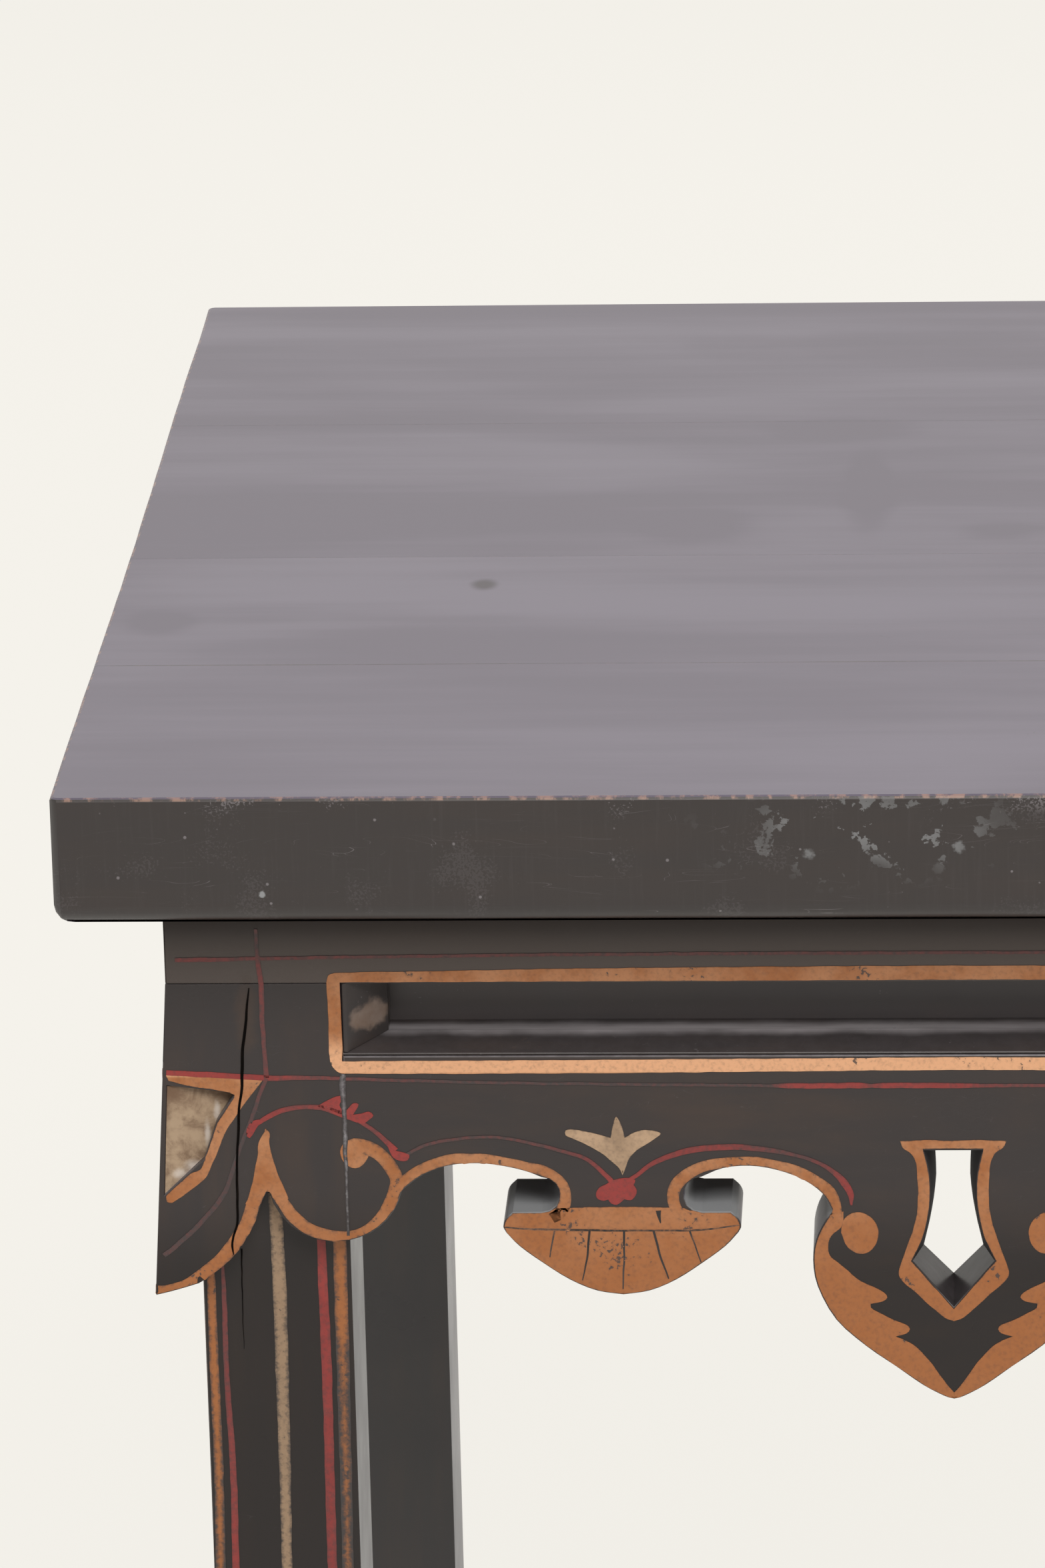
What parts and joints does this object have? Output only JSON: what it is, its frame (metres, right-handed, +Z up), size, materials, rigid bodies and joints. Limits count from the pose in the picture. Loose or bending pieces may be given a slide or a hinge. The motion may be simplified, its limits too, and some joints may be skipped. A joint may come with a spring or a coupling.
{
  "type": "side table",
  "caption": "Square side table in black lacquered wood with a thick top, a sunken slot and a cusped, painted apron on each side, and square legs.",
  "frame": {"origin": "on the floor, under the middle of the table", "axes": "+Z up, towards the top; -Y towards the front of the picture; +X towards the table's right side as seen from the front"},
  "size_m": [0.72, 0.72, 0.82],
  "materials": {
    "black_lacquer": "satin black lacquer, worn",
    "bare_wood": "unfinished softwood",
    "gold_paint": "aged gold paint on lacquer",
    "red_paint": "thin red brush lines",
    "cream_paint": "thin cream brush strokes"
  },
  "bodies": {
    "root": {"back_apron": "black_lacquer", "back_apron_pin_left": "bare_wood", "back_apron_pin_right": "bare_wood", "back_rail": "black_lacquer", "back_slot_end_left": "black_lacquer", "back_slot_end_right": "black_lacquer", "back_slot_panel": "black_lacquer", "back_slot_sill": "black_lacquer", "board_tongue_back": "bare_wood", "board_tongue_front": "bare_wood", "board_tongue_middle": "bare_wood", "front_apron": "black_lacquer", "front_apron_pin_left": "bare_wood", "front_apron_pin_right": "bare_wood", "front_rail": "black_lacquer", "front_slot_end_left": "black_lacquer", "front_slot_end_right": "black_lacquer", "front_slot_panel": "black_lacquer", "front_slot_sill": "black_lacquer", "left_apron": "black_lacquer", "left_apron_pin_left": "bare_wood", "left_apron_pin_right": "bare_wood", "left_rail": "black_lacquer", "left_slot_end_left": "black_lacquer", "left_slot_end_right": "black_lacquer", "left_slot_panel": "black_lacquer", "left_slot_sill": "black_lacquer", "leg_back_left": "black_lacquer", "leg_back_right": "black_lacquer", "leg_front_left": "black_lacquer", "leg_front_right": "black_lacquer", "right_apron": "black_lacquer", "right_apron_pin_left": "bare_wood", "right_apron_pin_right": "bare_wood", "right_rail": "black_lacquer", "right_slot_end_left": "black_lacquer", "right_slot_end_right": "black_lacquer", "right_slot_panel": "black_lacquer", "right_slot_sill": "black_lacquer", "top_batten_left": "bare_wood", "top_batten_right": "bare_wood", "top_board_back": "black_lacquer", "top_board_front": "black_lacquer", "top_board_second": "black_lacquer", "top_board_third": "black_lacquer"}
  },
  "joints": []
}
